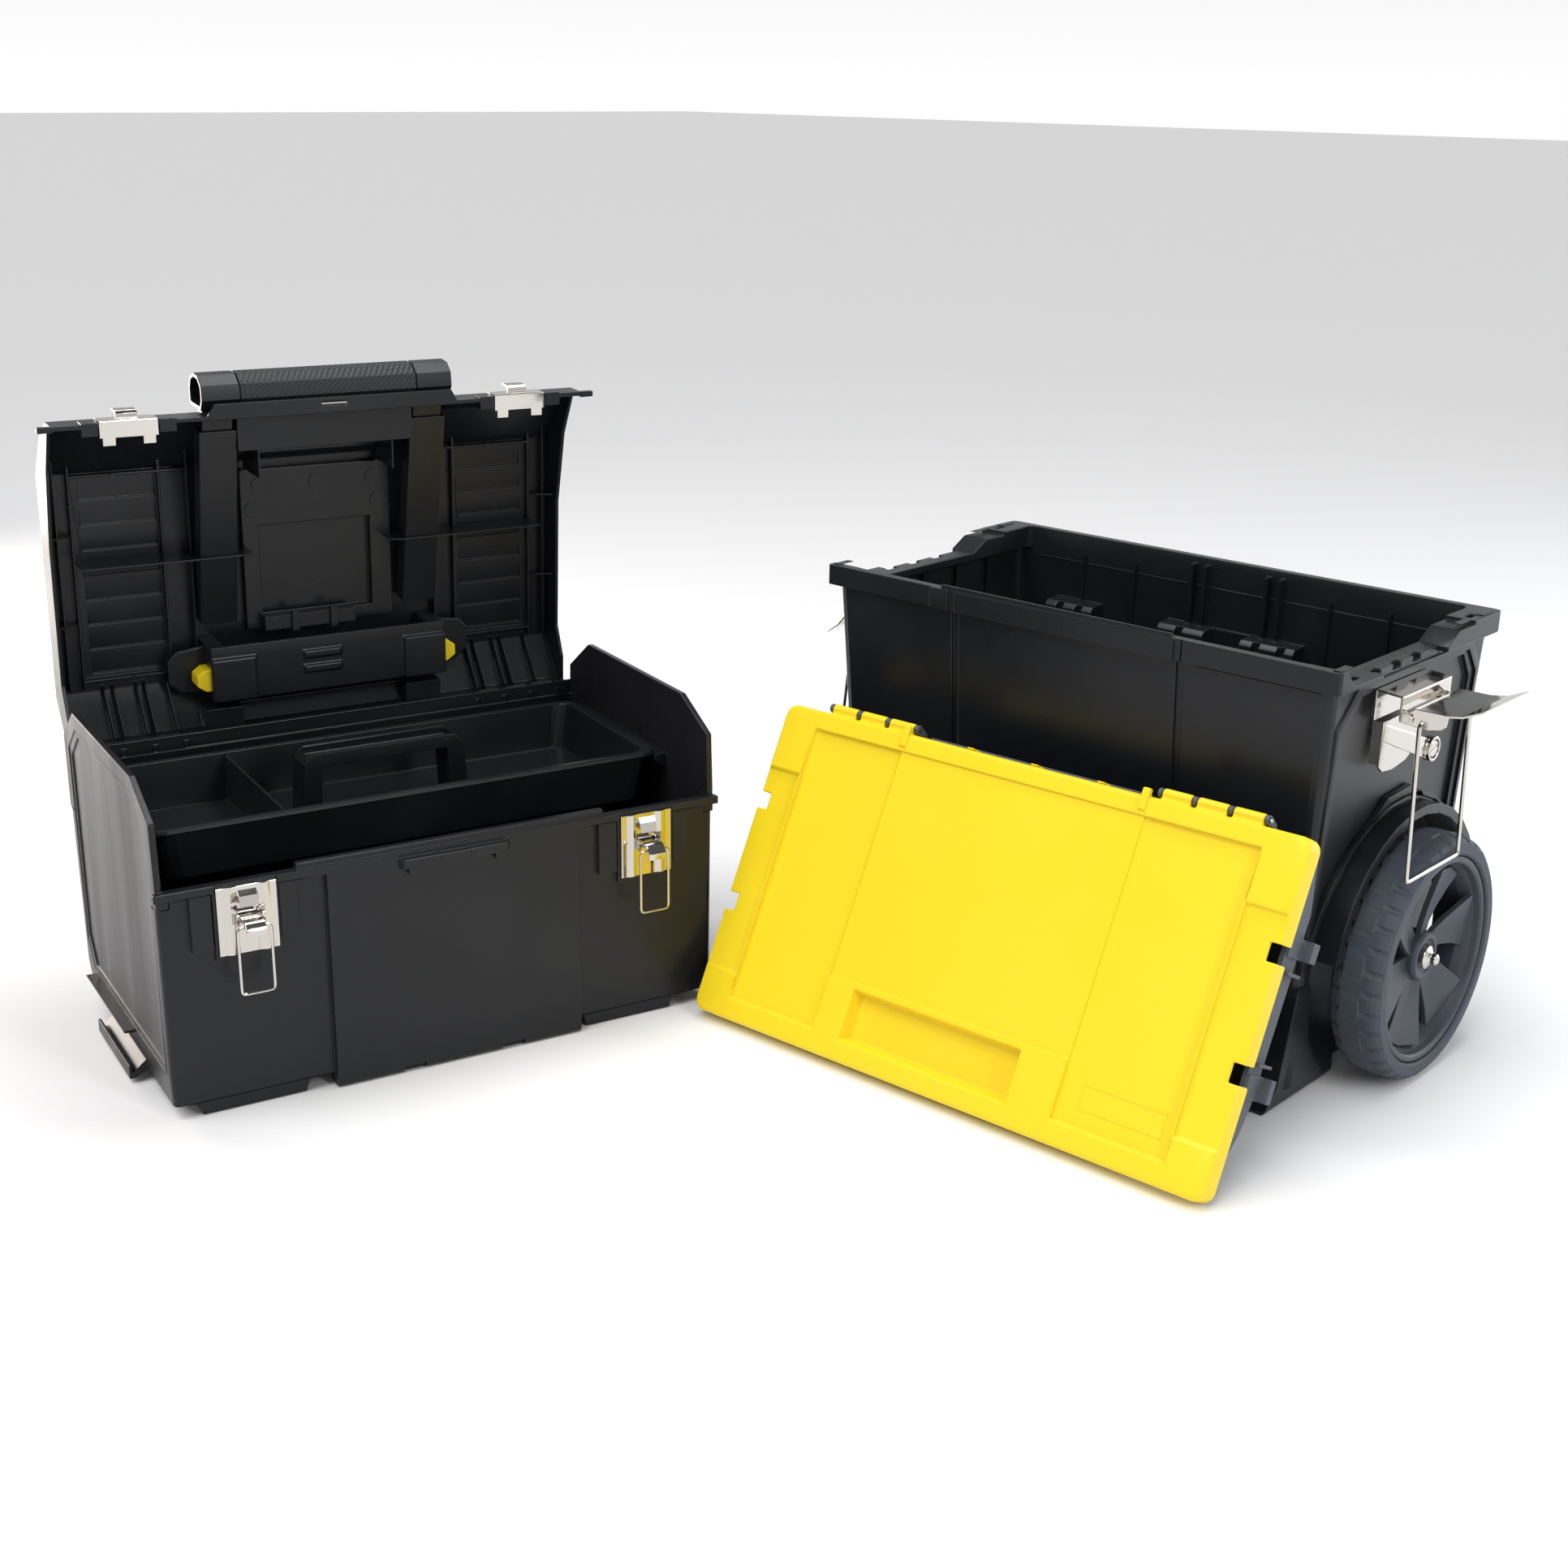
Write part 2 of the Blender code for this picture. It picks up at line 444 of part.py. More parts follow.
def box_body(frame):
    body = tub([(11, 227, -130, 118), (36, 228, -130.5, 128), (184, 228.5, -131.5, 131.5)], 5)
    wall = [(-131.5, 170), (-131.5, 190), (-129, 236), (-84, 259), (92, 259), (131, 231), (131.5, 170)]
    for s in (-1, 1):
        join(body, prism("x", wall, s * 219, s * 228.5))
    join(body, box((-224, 124, 180), (224, 131.5, 205)))
    cut(body, tub([(16, 222, -125.5, 113), (40, 222.7, -126, 123.5), (186, 223.5, -127.5, 127.5),
                   (270, 223.5, -127.5, 127.5)], 4))
    # open above the front and rear walls
    cut(body, box((-223.5, -140, 184), (223.5, -120, 265)), box((-223.5, 120, 205), (223.5, 140, 265)))
    # front flange, raised middle and the padlock lip
    join(body, box((-231, -136.5, 177.5), (231, -130, 184)))
    join(body, box((-125, -134, 182), (127.2, -127.5, 189)))
    middle = [(-136.5, 3), (-134, 0), (-118, 0), (-118, 12), (-129, 14), (-129, 178), (-136.5, 178)]
    join(body, prism("x", middle, -103, 104))
    lip = loft([[(x0, -142.5, z), (x1, -142.5, z), (x1 + 5, -134, z), (x0 - 5, -134, z)] for z, x0, x1 in
                ((172, -44, 41), (179.5, -44, 41))])
    join(body, lip)
    cut(body, box((-11, -140.5, 165), (9, -137.2, 185)))
    for x in (-40, 44):
        cut(body, box((x - 9, -140, -2), (x + 9, -132, 5)))
    # pads behind the latches
    for s in (-1, 1):
        c = s * LATCH_X
        join(body, box((c - 25, -135, 124), (c + 25, -129, 178)))
        join(body, box((c - 42, -136, 134), (c - 26, -129, 180)), box((c + 24.5, -136, 134), (c + 38, -129, 180)))
        cut(body, box((c - 23.2, -140, 120), (c + 23.2, -135, 185)))
    # end panels set in, hook bars for the bin's bails, ledges for the tray
    panel = [(-113, 40), (-113, 222), (-76, 241), (84, 241), (112, 219), (112, 62), (96, 40)]
    for s in (-1, 1):
        lo, hi = sorted((s * 226.2, s * 235))
        cut(body, prism("x", panel, lo, hi))
        upper = [(225, 33), (237, 33), (239, 36), (239, 45), (236.6, 45), (236.6, 37.5), (225, 37.5)]
        join(body, prism("y", [(s * x, z) for x, z in upper], -31, 92))
        lower = [(222, 11.2), (236, 4), (241, 4), (241, 15), (238.4, 15), (238.4, 8.5), (226, 19)]
        join(body, prism("y", [(s * x, z) for x, z in lower], -52, 46))
        lo, hi = sorted((s * 211.5, s * 224.5))
        join(body, prism("y", [(s * 224.5, 186), (s * 211.5, 196), (s * 211.5, 200.6), (s * 224.5, 200.6)],
                         -60, 106))
    # feet
    for x0, x1 in ((-210, -122), (108, 193)):
        for y0, y1 in ((-130, -62), (48, 106)):
            join(body, loft([[(x0 + d, y0 + d / 3, z), (x1 - d, y0 + d / 3, z), (x1 - d, y1 - d, z),
                              (x0 + d, y1 - d, z)] for z, d in ((0, 4), (14, 0))]))
    # tongue that closes the gap under the lid, hinge ears on the rear wall
    join(body, box((-224, 127.8, 200), (224, 130.3, 217.5)))
    for x in BOX_EARS:
        pts = [(127.6, 198), (131.5, 198), (131.5, 207), (137.2, HINGE_Z - 2.6), (138.2, HINGE_Z),
               (137.1, HINGE_Z + 2.6), (134.5, HINGE_Z + 3.7), (130.5, HINGE_Z + 3), (127.6, HINGE_Z - 2)]
        join(body, prism("x", pts, x - 2, x + 2))
        cut(body, prism("x", circle(HINGE_Y, HINGE_Z, 1.6 + GAP, 12), x - 3, x + 3))
    finish(body, "toolbox_body", BLACK, frame)
    for lo, hi, side in ((-212, -128.5, "left"), (128.5, 212, "right")):
        pin = prism("x", circle(HINGE_Y, HINGE_Z, 1.6, 12), lo, hi)
        finish(pin, "toolbox_pin_" + side, STEEL, frame)


def box_latch(frame, s, side):
    c = s * LATCH_X
    wave = []
    for i in range(19):
        x = -22.5 + 45 * i / 18
        bump = max(0.0, 1 - abs(abs(x) - 13) / 4.5) * 2.2
        wave.append((c + x, -137 - bump))
    plate = prism("z", wave + [(c + 22.5, -135.3), (c - 22.5, -135.3)], 128, 181)
    for dx in (-9.6, 9.6):
        join(plate, box((c + dx - 1.2, -145, 151.5), (c + dx + 1.2, -136, 161)))
    hood = [(-136.5, 178), (-141, 174), (-143, 166), (-141.6, 166), (-139, 172.5), (-136.5, 174)]
    join(plate, prism("x", hood, c - 7, c + 7))
    join(plate, cyl("x", -143, 156, 1.0, c - 10, c + 10, 10))
    finish(plate, "toolbox_latch_plate_" + side, CHROME, frame)

    turn = empty("toolbox_lever_%s_axis" % side, frame, Matrix.Translation((c * MM, -0.143, 0.156)))
    curl = [(-144.5, 157.4), (-149, 159), (-154.5, 157.2), (-158, 152.5), (-158, 147.5), (-156.6, 147.5),
            (-156.4, 152), (-153.6, 155.6), (-149.2, 157.2), (-145, 155.4)]
    lever = prism("x", curl, c - 7.6, c + 7.6)
    join(lever, cyl("x", -143, 156, 2.3, c - 7.6, c + 7.6, 14))
    cut(lever, cyl("x", -143, 156, 1.15, c - 12, c + 12, 10))
    lever.data.transform(Matrix.Translation((-c * MM, 0.143, -0.156)))
    finish(lever, "toolbox_latch_lever_" + side, CHROME, turn)

    swing = empty("toolbox_bail_%s_axis" % side, turn, Matrix.Translation((0, -0.0085, -0.0025)))
    y, z = -151.5, 153.5
    loop = rounded(([(c - 12.5, y, z), (c - 12.5, y, 101), (c + 12.5, y, 101), (c + 12.5, y, z)], True), 4)
    bail = wire([tuple(p) for p in loop], 1.2, closed=True)
    bail.data.transform(Matrix.Translation((-c * MM, 0.1515, -0.1535)))
    finish(bail, "toolbox_latch_bail_" + side, CHROME, swing)


def slanted(pts, x0, x1, u0, u1):
    """A bar with the (x, depth) outline pts running along the handle's slanted direction."""
    c, s = math.cos(SLANT), math.sin(SLANT)
    y_ref, z_ref = HINGE_Y - (350.0 - HINGE_Z), HINGE_Z + (148.0 - HINGE_Y)
    rings = []
    for u in (u0, u1):
        rings.append([(x, y_ref - u * c - d * s, z_ref - u * s + d * c) for x, d in pts])
    return loft(rings)


def channel_outline(cx, grow, d0, d1, half):
    return [(cx - half - grow, d0 - grow), (cx + half + grow, d0 - grow), (cx + half + grow, d1 + grow),
            (cx - half - grow, d1 + grow)]


def box_lid(frame):
    outer = [(138, 218.5), (137, 233), (101, 259), (-86, 259), (-124, 230), (-137.5, 207), (-137.5, 184.4)]
    inner = [(-134.2, 184.4), (-134.2, 206.1), (-121.5, 227.8), (-84.9, 255.7), (99.9, 255.7), (134.5, 230.7),
             (134.5, 218.5)]
    lid = prism("x", outer + inner, -222.3, 222.3)
    flange = [(-136, 199.5), (-95, 219), (-31, 232), (85, 234), (112, 222), (134.8, 222), (136, 232), (100.5, 258),
              (-85.5, 258), (-123, 229), (-136.5, 207)]
    for s in (-1, 1):
        join(lid, prism("x", flange, s * 219.3, s * 222.3))
    # ribs inside the roof
    for x in (-200, -128, 128, 200):
        join(lid, box((x - 1, -92, 249), (x + 1, 96, 257)))
    for y in (-83, 89):
        for x0, x1 in ((-200, -107), (107, 200)):
            join(lid, box((x0, y - 1, 249), (x1, y + 1, 257)))
    # centre plate with its pocket, blocks behind the housing and webs over the hinges
    join(lid, box((-62, -78, 248), (68, 60, 257)))
    cut(lid, box((-48, -30, 240), (50, 49, 255.2)))
    for x0, x1 in ((-109.5, -78), (68, 100)):
        join(lid, box((x0, 117, 218.5), (x1, 136, 240)))
    for x in (-185, -177, -158, -151, -133, 137, 145, 164, 172, 195):
        join(lid, prism("x", [(95, 257), (98, 248), (131, 222), (135.5, 222), (136, 232)], x - 0.7, x + 0.7))
    # wide front corners, rim and the padlock lip
    for s in (-1, 1):
        lo, hi = sorted((s * 221, s * 232.8))
        join(lid, box((lo, -137.5, 184.4), (hi, -133, 190)))
    rim = loft([[(x0, -137, z), (x1, -137, z), (x1 - 6, -147, z), (x0 + 6, -147, z)] for z, x0, x1 in
                ((184.4, -103, 108), (187.4, -103, 108))])
    join(lid, rim)
    cut(lid, box((-9.5, -143.5, 180), (11.5, -138.2, 190)))
    # seats of the two catches, each between two blocks
    for s in (-1, 1):
        c = s * LATCH_X
        for x0, x1 in ((c - 36, c - 23.5), (c + 23.5, c + 37)):
            join(lid, box((x0, -138.6, 184.4), (x1, -128, 197)))
        cut(lid, box((c - 23, -142, 183), (c + 23, -119, 187)))
    # openings for the two tubes, hinge barrels
    for cx in (-89, 89):
        cut(lid, slanted(channel_outline(cx, 0, 1.6, 14.4, 13.4), 0, 0, 100, 190))
    for a, b in BOX_KNUCKLES:
        join(lid, prism("x", circle(HINGE_Y, HINGE_Z, 3.7, 16), a, b),
             box((a, 134.5, HINGE_Z + 1.5), (b, 138, 220)))
        cut(lid, prism("x", circle(HINGE_Y, HINGE_Z, 1.75, 12), a - 1, b + 1))
    return lid


def build_lid(frame):
    turn = empty("toolbox_lid_axis", frame, Matrix.Translation((0, HINGE_Y * MM, HINGE_Z * MM))
                 @ Matrix.Rotation(-LID_OPEN, 4, "X"))
    shift = Matrix.Translation((0, -HINGE_Y * MM, -HINGE_Z * MM))

    def fit(ob, name, mat, origin=None):
        ob.data.transform(shift)
        parent = turn
        if origin is not None:
            o = Vector(origin) * MM + Vector((0, -HINGE_Y * MM, -HINGE_Z * MM))
            parent = empty(name + "_axis", turn, Matrix.Translation(o))
            ob.data.transform(Matrix.Translation(-o))
        return finish(ob, name, mat, parent)

    fit(box_lid(frame), "toolbox_lid", BLACK)
    # guide channels for the tubes
    for s, side in ((-1, "left"), (1, "right")):
        cx = s * 89
        guide = slanted(channel_outline(cx, 0, 0, 16, 15.5), 0, 0, -50, 121.5)
        cut(guide, slanted(channel_outline(cx, 0, 2, 14, 13), 0, 0, -60, 140))
        fit(guide, "handle_guide_" + side, BLACK)
        tube = slanted(channel_outline(cx, 0, 2.5, 13.5, 12.4), 0, 0, -48, 138.5)
        fit(tube, "handle_tube_" + side, STEEL, (cx, HINGE_Y, HINGE_Z))
        c = s * LATCH_X
        catch = box((c - 22.5, -139.4, 184.8), (c + 22.5, -137.8, 201))
        join(catch, box((c - 22.5, -139, 184.8), (c + 22.5, -126, 186.4)))
        for x0 in (c - 20.5, c + 10.5):
            join(catch, box((x0, -126.5, 184.8), (x0 + 10, -120, 186.4)))
        hook = [(-138.2, 190.5), (-143.6, 190.5), (-145.8, 192.6), (-145.8, 203), (-144.2, 203), (-144.2, 193.4),
                (-143, 192.1), (-138.2, 192.1)]
        join(catch, prism("x", hook, c - 8.5, c + 8.5))
        fit(catch, "lid_catch_" + side, CHROME)
        button = prism("z", [(s * 101.5, 82), (s * 108, 82), (s * 115, 87), (s * 115, 96), (s * 108, 101),
                             (s * 101.5, 101)], 219.5, 238)
        fit(button, "release_button_" + side, YELLOW, (s * 108, 91.5, 228))
    housing = prism("x", [(63, 217), (110, 217), (110, 247.8), (99.6, 255.3), (63, 255.3)], -104, 104)
    cut(housing, box((-90, 55, 222), (90, 104.5, 262)))
    for s in (-1, 1):
        lo, hi = sorted((s * 96, s * 105))
        cut(housing, box((lo, 81.6, 219.1), (hi, 101.4, 238.4)))
        # raised end block and a flat wing beside it
        lo, hi = sorted((s * 66, s * 104))
        join(housing, box((lo, 73, 213.5), (hi, 110, 219)))
        wing = [(103, 66), (127, 69), (134, 77), (134, 98), (124, 106), (103, 109)]
        join(housing, prism("z", [(s * x, y) for x, y in wing], 239, 241.5))
    # two raised bars on its face
    join(housing, box((-24, 74.5, 215), (9, 81, 218)), box((-24, 87.5, 215), (9, 94, 218)))
    fit(housing, "handle_housing", BLACK)
    # grip: a hollow bar with plain ends, carried by the tubes
    ring_o = [(-140.4, 195), (-149, 190), (-160.5, 191.5), (-167.3, 200), (-168, 211.5), (-163.8, 221.5),
              (-154.5, 226), (-143, 225.5), (-140.4, 222)]
    ring_i = [(-143.6, 197), (-149.6, 193.4), (-159, 194.7), (-164.2, 201.2), (-164.8, 210.9), (-161.4, 218.9),
              (-153.9, 222.6), (-144.6, 222.3), (-143.6, 220.5)]
    grip = prism("x", ring_o, -105, 105)
    cut(grip, prism("x", ring_i, -110, 110))
    fit(grip, "handle_grip", BLACK, (0, -154, 208))


def tote_tray(frame):
    tray = tub([(162, 201, -55, 101), (203, 208, -60, 106)], 14)
    join(tray, tub([(201.2, 216, -64, 110), (205, 215, -63, 109)], 16))
    cut(tray, tub([(165, 198.5, -52.5, 98.5), (206, 205, -57, 103)], 12))
    arch = [(-72, 164), (-68.5, 214), (-61, 222), (61, 222), (68.5, 214), (72, 164), (56, 164), (54, 211),
            (-54, 211), (-56, 164)]
    join(tray, prism("y", arch, 10, 40))
    cut(tray, box((-63, 13, 214.5), (63, 37, 224)))
    join(tray, box((-108, -54, 164), (-105, 100, 203)))
    finish(tray, "tote_tray", BLACK, frame)


def build_box():
    place = Matrix.Translation((BOX_AT[0] + OFFSET[0], BOX_AT[1] + OFFSET[1], 0)) @ Matrix.Rotation(BOX_YAW, 4, "Z")
    frame = empty("toolbox", None, place)
    box_body(frame)
    build_lid(frame)
    tote_tray(frame)
    for s, side in ((-1, "left"), (1, "right")):
        box_latch(frame, s, side)


build_bin()
build_organiser()
build_box()
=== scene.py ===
"""Looks of the rolling tool box set: rounded shells, moulded details, materials, light and camera.

Every detail is modelled in millimetres in the frame of its own unit (X along the unit, -Y its front, +Z up; for
the organiser X, v up its slope and t outwards) and placed with the same matrices as the CAD model.
"""
import math

import bmesh
import bpy
from mathutils import Matrix, Vector


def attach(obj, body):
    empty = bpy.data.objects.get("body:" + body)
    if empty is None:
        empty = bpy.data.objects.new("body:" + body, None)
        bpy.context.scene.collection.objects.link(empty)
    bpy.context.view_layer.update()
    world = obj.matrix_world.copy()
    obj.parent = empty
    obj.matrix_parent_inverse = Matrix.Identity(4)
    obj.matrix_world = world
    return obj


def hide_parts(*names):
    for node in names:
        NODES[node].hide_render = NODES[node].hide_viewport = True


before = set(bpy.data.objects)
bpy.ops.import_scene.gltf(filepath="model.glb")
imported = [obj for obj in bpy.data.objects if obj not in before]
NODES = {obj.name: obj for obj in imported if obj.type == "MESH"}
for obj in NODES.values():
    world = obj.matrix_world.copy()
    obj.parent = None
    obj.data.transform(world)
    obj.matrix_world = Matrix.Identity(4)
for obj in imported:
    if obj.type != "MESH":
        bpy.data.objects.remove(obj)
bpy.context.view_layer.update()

MM = 0.001
OFFSET = (0.17369, 0.29057)
HINGE_Y, HINGE_Z = 134.5, 214.0
LID_OPEN = math.radians(87.5)
WHEEL_Y, WHEEL_R = 17.0, 100.0
BOX_TURN = 1.2768
ORG_TURN, ORG_LEAN = 0.032, 1.1077

SPECULAR = 0.30
MERGE_DISTANCE = 2e-6
SHARP_ANGLE = math.radians(13)
PANEL_ARCH_R = 126
SPOKES, SPOKE_START, SPOKE_SWEEP = 6, 0.32, 0.0034
TREAD_STEPS, TREAD_LUGS, TREAD_NOTCHES = 288, 18, 36
LUG_HEIGHT, NOTCH_DEPTH = 0.8, 1.7
SLATS, SLAT_PITCH, SLAT_START, SLAT_DEPTH = 8, 21.0, -81.0, 18.5
FLOOR_SIZE, FLOOR_DROP = 60, 0.0005
CAMERA_TURN, CAMERA_DOWN, CAMERA_ROLL = 0.7334, 0.3305, 0.0164
CAMERA_LENS, CAMERA_SENSOR = 47.52, 36.0

BIN = Matrix.Translation((OFFSET[0], OFFSET[1], 0))
BOX = Matrix.Translation((OFFSET[0] - 0.428, OFFSET[1] - 0.454, 0)) @ Matrix.Rotation(BOX_TURN, 4, "Z")
ORG = (Matrix.Translation((OFFSET[0] + 0.017, OFFSET[1] - 0.3035, 0.009))
       @ Matrix.Rotation(ORG_TURN, 4, "Z") @ Matrix.Rotation(ORG_LEAN, 4, "X"))
HINGE = Matrix.Translation((0, HINGE_Y * MM, HINGE_Z * MM))
LID = BOX @ HINGE @ Matrix.Rotation(-LID_OPEN, 4, "X") @ HINGE.inverted()


# ---------------------------------------------------------------- materials
class Nodes:
    """A small writer for one material's node tree."""

    def __init__(self, name, color, rough, metal=0.0):
        self.mat = bpy.data.materials.new(name)
        self.mat.use_nodes = True
        self.tree = self.mat.node_tree
        self.bsdf = self.tree.nodes["Principled BSDF"]
        self.bsdf.inputs["Base Color"].default_value = (*color, 1)
        self.bsdf.inputs["Roughness"].default_value = rough
        self.bsdf.inputs["Metallic"].default_value = metal
        self.bsdf.inputs["Specular IOR Level"].default_value = SPECULAR
        self.coords = self.add("ShaderNodeTexCoord").outputs["Object"]

    def add(self, kind, **inputs):
        node = self.tree.nodes.new(kind)
        for key, value in inputs.items():
            self.put(value, node.inputs[key.replace("_", " ")])
        return node

    def put(self, value, socket):
        if isinstance(value, bpy.types.NodeSocket):
            self.tree.links.new(value, socket)
        else:
            socket.default_value = value

    def noise(self, scale, detail=3.0, vector=None):
        node = self.add("ShaderNodeTexNoise", Vector=vector or self.coords, Scale=scale, Detail=detail)
        return node.outputs[0]

    def spread(self, value, low, high, out_low, out_high):
        node = self.add("ShaderNodeMapRange", Value=value, From_Min=low, From_Max=high, To_Min=out_low,
                        To_Max=out_high)
        return node.outputs[0]

    def mix(self, factor, a, b):
        node = self.add("ShaderNodeMix")
        node.data_type = "RGBA"
        self.put(factor, node.inputs[0])
        self.put((*a, 1) if isinstance(a, tuple) else a, node.inputs[6])
        self.put((*b, 1) if isinstance(b, tuple) else b, node.inputs[7])
        return node.outputs[2]

    def turned(self, matrix, stretch=(1, 1, 1)):
        """Coordinates in a unit's own frame, stretched along its axes."""
        node = self.add("ShaderNodeMapping", Vector=self.coords)
        node.vector_type = "TEXTURE"
        node.inputs["Location"].default_value = matrix.to_translation()
        node.inputs["Rotation"].default_value = matrix.to_euler()
        second = self.add("ShaderNodeMapping", Vector=node.outputs[0])
        second.inputs["Scale"].default_value = stretch
        return second.outputs[0]

    def bump(self, height, strength, distance, before=None):
        node = self.add("ShaderNodeBump", Height=height, Strength=strength, Distance=distance)
        if before is not None:
            self.put(before, node.inputs["Normal"])
        self.put(node.outputs[0], self.bsdf.inputs["Normal"])
        return node.outputs[0]


def moulded(name, color, rough, grain=0.25, scale=1500.0, dust=0.04):
    """Injection-moulded plastic: spark-eroded grain, slight flow marks and a little uneven gloss."""
    n = Nodes(name, color, rough)
    broad = n.noise(9.0, 4.0)
    fine = n.noise(scale, 2.0)
    n.put(n.spread(broad, 0.3, 0.7, rough - 0.05, rough + 0.07), n.bsdf.inputs["Roughness"])
    lighter = tuple(c + dust * (0.25 + c) for c in color)
    n.put(n.mix(n.spread(broad, 0.45, 0.8, 0.0, 0.5), color, lighter), n.bsdf.inputs["Base Color"])
    wavy = n.bump(n.noise(35.0, 2.0), 0.15, 0.0006)
    n.bump(fine, grain, 0.0002, wavy)
    return n.mat


def metal(name, color, rough, stretch, scratches=0.06):
    """Bright plated sheet: a clean mirror with faint rolling lines and slightly uneven gloss."""
    n = Nodes(name, color, rough, 1.0)
    lines = n.noise(60.0, 4.0, n.turned(Matrix.Identity(4), stretch))
    n.put(n.spread(lines, 0.3, 0.75, rough * 0.7, rough + 0.1), n.bsdf.inputs["Roughness"])
    n.bump(lines, scratches, 0.0004)
    return n.mat


BLACK = moulded("black_moulded", (0.008, 0.009, 0.0115), 0.30)
SMOOTH = moulded("black_smooth", (0.006, 0.007, 0.009), 0.28, 0.12, 900.0)
SLATE = moulded("slate_moulded", (0.070, 0.080, 0.100), 0.46)
YELLOW = moulded("yellow_moulded", (0.84, 0.62, 0.016), 0.36, 0.12, 1200.0, 0.01)
WHEEL = moulded("wheel_moulded", (0.048, 0.055, 0.070), 0.42, 0.2)
RUBBER = moulded("tyre_rubber", (0.052, 0.060, 0.078), 0.60, 0.5, 700.0, 0.05)
CHROME = metal("bright_chrome", (0.60, 0.57, 0.53), 0.06, (1, 1, 8))
STEEL = metal("brushed_steel", (0.60, 0.60, 0.61), 0.28, (1, 1, 20), 0.2)


def woven(name):
    """Moulded diagonal weave on the grip."""
    n = Nodes(name, (0.012, 0.014, 0.018), 0.34)
    local = n.turned(LID)
    waves = []
    for turn in (math.pi / 4, -math.pi / 4):
        side = n.add("ShaderNodeMapping", Vector=local)
        side.inputs["Rotation"].default_value = (0.0, 0.0, turn)
        wave = n.add("ShaderNodeTexWave", Vector=side.outputs[0], Scale=95.0)
        waves.append(wave.outputs["Fac"])
    both = n.add("ShaderNodeMath")
    both.operation = "MAXIMUM"
    n.put(waves[0], both.inputs[0])
    n.put(waves[1], both.inputs[1])
    n.bump(both.outputs[0], 0.5, 0.0006)
    return n.mat


def streaked(name):
    """Plastic with the faint upright flow streaks of a big flat wall."""
    n = Nodes(name, (0.013, 0.013, 0.015), 0.36)
    lines = n.noise(22.0, 3.0, n.turned(BOX, (1, 1, 0.06)))
    n.put(n.spread(lines, 0.3, 0.7, 0.28, 0.48), n.bsdf.inputs["Roughness"])
    rough = n.bump(lines, 0.25, 0.0006)
    n.bump(n.noise(1500.0, 2.0), 0.2, 0.0002, rough)
    return n.mat


WEAVE = woven("grip_weave")
STREAKED = streaked("black_streaked")


# ---------------------------------------------------------------- mesh helpers
def mesh_object(name, verts, faces, matrix):
    me = bpy.data.meshes.new(name)
    me.from_pydata([matrix @ (Vector(v) * MM) for v in verts], [], faces)
    bm = bmesh.new()
    bm.from_mesh(me)
    bmesh.ops.recalc_face_normals(bm, faces=bm.faces)
    bm.to_mesh(me)
    bm.free()
    ob = bpy.data.objects.new(name, me)
    bpy.context.collection.objects.link(ob)
    return ob


def loft(rings, matrix, closed=False, name="tmp"):
    """Skin rings that all have the same number of points; capped at both ends unless closed."""
    n = len(rings[0])
    verts = [p for ring in rings for p in ring]
    faces = []
    last = len(rings) if closed else len(rings) - 1
    for i in range(last):
        a, b = i * n, ((i + 1) % len(rings)) * n
        faces += [(a + j, a + (j + 1) % n, b + (j + 1) % n, b + j) for j in range(n)]
    if not closed:
        faces += [tuple(range(n)), tuple((len(rings) - 1) * n + j for j in range(n))]
    return mesh_object(name, verts, faces, matrix)


def put(axis, w, u, v):
    return {"x": (w, u, v), "y": (u, w, v), "z": (u, v, w)}[axis]


def prism(axis, pts, a, b, matrix):
    return loft([[put(axis, w, u, v) for u, v in pts] for w in (a, b)], matrix)


def box(lo, hi, matrix):
    lo, hi = [min(p) for p in zip(lo, hi)], [max(p) for p in zip(lo, hi)]
    pts = [(lo[0], lo[1]), (hi[0], lo[1]), (hi[0], hi[1]), (lo[0], hi[1])]
    return prism("z", pts, lo[2], hi[2], matrix)


def circle(cu, cv, r, n=24):
    return [(cu + r * math.cos(2 * math.pi * i / n), cv + r * math.sin(2 * math.pi * i / n)) for i in range(n)]


def cyl(axis, cu, cv, r, a, b, matrix, n=24):
    return prism(axis, circle(cu, cv, r, n), a, b, matrix)


def lathe_x(profile, cy, cz, matrix, n=72):
    rings = []
    for i in range(n):
        c, s = math.cos(2 * math.pi * i / n), math.sin(2 * math.pi * i / n)
        rings.append([(x, cy + r * c, cz + r * s) for x, r in profile])
    return loft(rings, matrix, closed=True)


def boolean(target, other, how):
    mod = target.modifiers.new("b", "BOOLEAN")
    mod.operation, mod.object, mod.solver = how, other, "EXACT"
    deps = bpy.context.evaluated_depsgraph_get()
    me = bpy.data.meshes.new_from_object(target.evaluated_get(deps))
    target.modifiers.clear()
    target.data = me
    bpy.data.objects.remove(other, do_unlink=True)


def cut(target, *others):
    for other in others:
        boolean(target, other, "DIFFERENCE")
    return target


def add(target, *others):
    for other in others:
        boolean(target, other, "UNION")
    return target


def gather(name, parts):
    """Put loose pieces in one object without a Boolean."""
    bm = bmesh.new()
    for part in parts:
        bm.from_mesh(part.data)
        bpy.data.objects.remove(part, do_unlink=True)
    me = bpy.data.meshes.new(name)
    bm.to_mesh(me)
    bm.free()
    ob = bpy.data.objects.new(name, me)
    bpy.context.collection.objects.link(ob)
    return ob


def split_faces(me):
    """Cut many-sided faces into triangles, so that rounding their edges can't fold them over."""
    bm = bmesh.new()
    bm.from_mesh(me)
    wide = [face for face in bm.faces if len(face.verts) > 4]
    bmesh.ops.triangulate(bm, faces=wide, ngon_method="BEAUTY")
    bm.to_mesh(me)
    bm.free()


